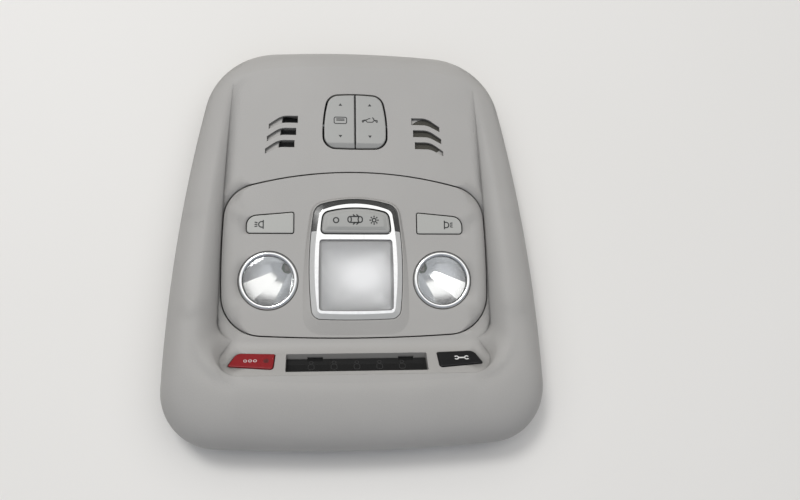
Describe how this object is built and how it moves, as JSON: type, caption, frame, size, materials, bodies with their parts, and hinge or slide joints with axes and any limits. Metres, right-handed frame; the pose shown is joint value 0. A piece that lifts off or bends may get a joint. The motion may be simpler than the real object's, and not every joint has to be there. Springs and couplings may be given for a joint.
{
  "type": "car dome light console",
  "caption": "Car roof console with dome light: grey moulded shell, centre lamp and mode switch in a chrome frame, round reading lamps, buttons, roof rockers and a dark display.",
  "frame": {"origin": "bottom centre of the bounding box, on the back face of the rear housing", "axes": "+X to the right of the face, +Y to the rear of the car, +Z out of the face"},
  "size_m": [0.2378, 0.2626, 0.0393],
  "materials": {
    "console_plastic": "fine-grained light grey moulding",
    "chrome_trim": "bright chrome plating",
    "frosted_lens": "frosted translucent moulding",
    "clear_lens": "clear moulded lens",
    "reflector": "metallised",
    "light_source": "resin-filled",
    "board_green": "solder mask",
    "inner_black": "moulded black",
    "housing_grey": "moulded dark grey",
    "red_button": "satin red",
    "black_button": "satin black",
    "smoked_window": "smoked",
    "light_box_white": "white moulding",
    "foam": "open-cell foam",
    "steel": "zinc-plated steel",
    "contact_metal": "tinned brass"
  },
  "bodies": {
    "console": {"outer_bezel": "console_plastic", "lamp_panel": "console_plastic", "centre_frame": "chrome_trim", "centre_lens": "frosted_lens", "lens_rim": "clear_lens", "centre_reflector": "reflector", "centre_led": "light_source", "mode_switch_pin": "steel", "mode_switch_cradle": "inner_black", "left_reading_tact": "inner_black", "right_reading_tact": "inner_black", "left_lamp_ring": "chrome_trim", "right_lamp_ring": "chrome_trim", "left_lamp_lens": "clear_lens", "right_lamp_lens": "clear_lens", "left_lamp_reflector": "reflector", "right_lamp_reflector": "reflector", "left_lamp_led": "light_source", "right_lamp_led": "light_source", "main_circuit_board": "board_green", "rear_housing": "housing_grey", "main_connector": "inner_black", "connector_pins": "contact_metal", "rocker_pin": "steel", "rocker_tray": "inner_black", "right_microphone_foam": "foam", "right_microphone": "inner_black", "left_microphone": "inner_black", "emergency_tact": "inner_black", "assist_tact": "inner_black", "display_window": "smoked_window", "display_light_box": "light_box_white", "shelf_circuit_board": "board_green", "panel_screws": "steel", "bezel_screws": "steel", "tray_screws": "steel", "shelf_screws": "steel", "board_screws": "steel", "spring_clips": "steel"},
    "mode_switch": {"mode_switch": "console_plastic"},
    "left_reading_button": {"left_reading_button": "console_plastic"},
    "right_reading_button": {"right_reading_button": "console_plastic"},
    "sunshade_rocker": {"sunshade_rocker": "console_plastic"},
    "sunroof_rocker": {"sunroof_rocker": "console_plastic"},
    "emergency_button": {"emergency_button": "red_button", "emergency_status_lens": "smoked_window"},
    "assist_button": {"assist_button": "black_button"}
  },
  "joints": [
    {"name": "mode_switch_rock", "type": "hinge", "parent": "console", "child": "mode_switch", "pos_m": [0, 0.012, 0.0175], "axis": [0, 1, 0], "range_deg": [-4, 4]},
    {"name": "left_reading_press", "type": "slide", "parent": "console", "child": "left_reading_button", "axis": [0, 0, -1], "range_m": [0, 0.0015], "stiffness_N_per_m": 800, "springref_m": -0.0005},
    {"name": "right_reading_press", "type": "slide", "parent": "console", "child": "right_reading_button", "axis": [0, 0, -1], "range_m": [0, 0.0015], "stiffness_N_per_m": 800, "springref_m": -0.0005},
    {"name": "sunshade_rock", "type": "hinge", "parent": "console", "child": "sunshade_rocker", "pos_m": [-0.0095, 0.0797, 0.015], "axis": [1, 0, 0], "range_deg": [-4, 4], "stiffness_Nm_per_rad": 0.6},
    {"name": "sunroof_rock", "type": "hinge", "parent": "console", "child": "sunroof_rocker", "pos_m": [0.0095, 0.0797, 0.015], "axis": [1, 0, 0], "range_deg": [-4, 4], "stiffness_Nm_per_rad": 0.6},
    {"name": "emergency_press", "type": "slide", "parent": "console", "child": "emergency_button", "axis": [0, -0.6428, -0.766], "range_m": [0, 0.0012], "stiffness_N_per_m": 800, "springref_m": -0.0005},
    {"name": "assist_press", "type": "slide", "parent": "console", "child": "assist_button", "axis": [0, -0.6428, -0.766], "range_m": [0, 0.0012], "stiffness_N_per_m": 800, "springref_m": -0.0005}
  ]
}
